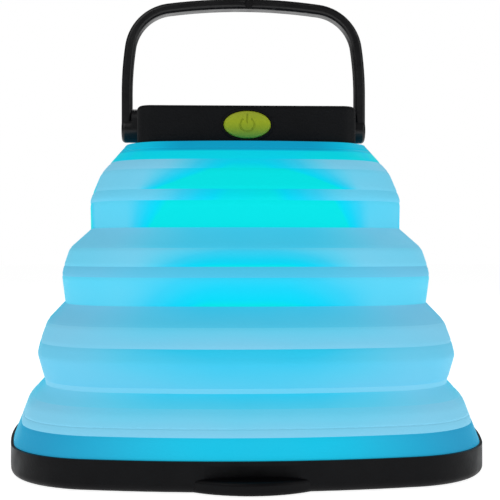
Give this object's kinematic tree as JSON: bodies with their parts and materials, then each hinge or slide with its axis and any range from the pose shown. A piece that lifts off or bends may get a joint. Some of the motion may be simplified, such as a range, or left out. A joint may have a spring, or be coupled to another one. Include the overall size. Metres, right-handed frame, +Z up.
{
  "type": "camping lantern",
  "caption": "Folding camping lantern: a pleated silicone shade lit from inside, between a low base with a finger lip and a top housing with power button, solar cell and swing handle.",
  "frame": {"origin": "centre of the foot pad's underside, on the lantern's vertical axis", "axes": "+Z up, power button and finger lip face -Y, +X to the right seen from the front"},
  "size_m": [0.1, 0.1029, 0.101],
  "materials": {
    "housing_plastic": "fine textured",
    "base_plastic": "satin moulded",
    "handle_plastic": "satin gloss",
    "silicone": "translucent, lit from inside",
    "button_plastic": "satin",
    "pad_rubber": "matt",
    "seal_rubber": "matt",
    "white_plastic": "satin",
    "clamp_plastic": "satin",
    "diffuser_plastic": "milky",
    "window": "clear gloss",
    "solar_silicon": "dark blue silicon",
    "screw_steel": "machined",
    "pin_steel": "machined",
    "nylon": "natural nylon",
    "board": "solder mask",
    "chip_plastic": "moulded epoxy",
    "led_phosphor": "phosphor",
    "cell_foil": "foil pouch",
    "tape": "foam",
    "port_metal": "plated",
    "wire_red": "insulation",
    "pin_metal": "plated",
    "light_pipe": "clear"
  },
  "bodies": {
    "base": {"base_tray": "base_plastic", "foot_pad": "pad_rubber", "lower_clamp_ring": "clamp_plastic", "base_screws": "screw_steel", "reflector": "white_plastic", "bellows": "silicone"},
    "lamp_head": {"top_housing": "housing_plastic", "solar_cell": "solar_silicon", "solar_window": "window", "battery_tape": "tape", "battery_cell": "cell_foil", "circuit_board": "board", "board_components": "chip_plastic", "usb_port": "port_metal", "charge_light_pipe": "light_pipe", "battery_leads": "wire_red", "solar_leads": "pin_metal", "lamp_carrier": "white_plastic", "housing_screws": "screw_steel", "led_board": "board", "led_chips": "led_phosphor", "led_diffuser": "diffuser_plastic", "led_link_pins": "pin_metal", "switch_board": "board", "switch_link_pins": "pin_metal", "tact_switch": "chip_plastic", "handle_pins": "pin_steel", "handle_washers": "nylon", "port_cover_pin": "pin_steel"},
    "power_button": {"power_button": "button_plastic", "switch_plunger": "nylon"},
    "handle": {"handle": "handle_plastic"},
    "port_cover": {"port_cover": "seal_rubber"}
  },
  "joints": [
    {"name": "collapse", "type": "slide", "parent": "base", "child": "lamp_head", "axis": [0, 0, -1], "range_m": [0, 0.046], "deforming": ["bellows"]},
    {"name": "handle_swing", "type": "hinge", "parent": "lamp_head", "child": "handle", "pos_m": [0, 0, 0.0713], "axis": [1, 0, 0], "range_deg": [-90, 90]},
    {"name": "button_press", "type": "slide", "parent": "lamp_head", "child": "power_button", "axis": [0, 1, 0], "range_m": [0, 0.0005], "stiffness_N_per_m": 1000},
    {"name": "port_cover_hinge", "type": "hinge", "parent": "lamp_head", "child": "port_cover", "pos_m": [0, 0.022, 0.0715], "axis": [1, 0, 0], "range_deg": [0, 100]}
  ]
}
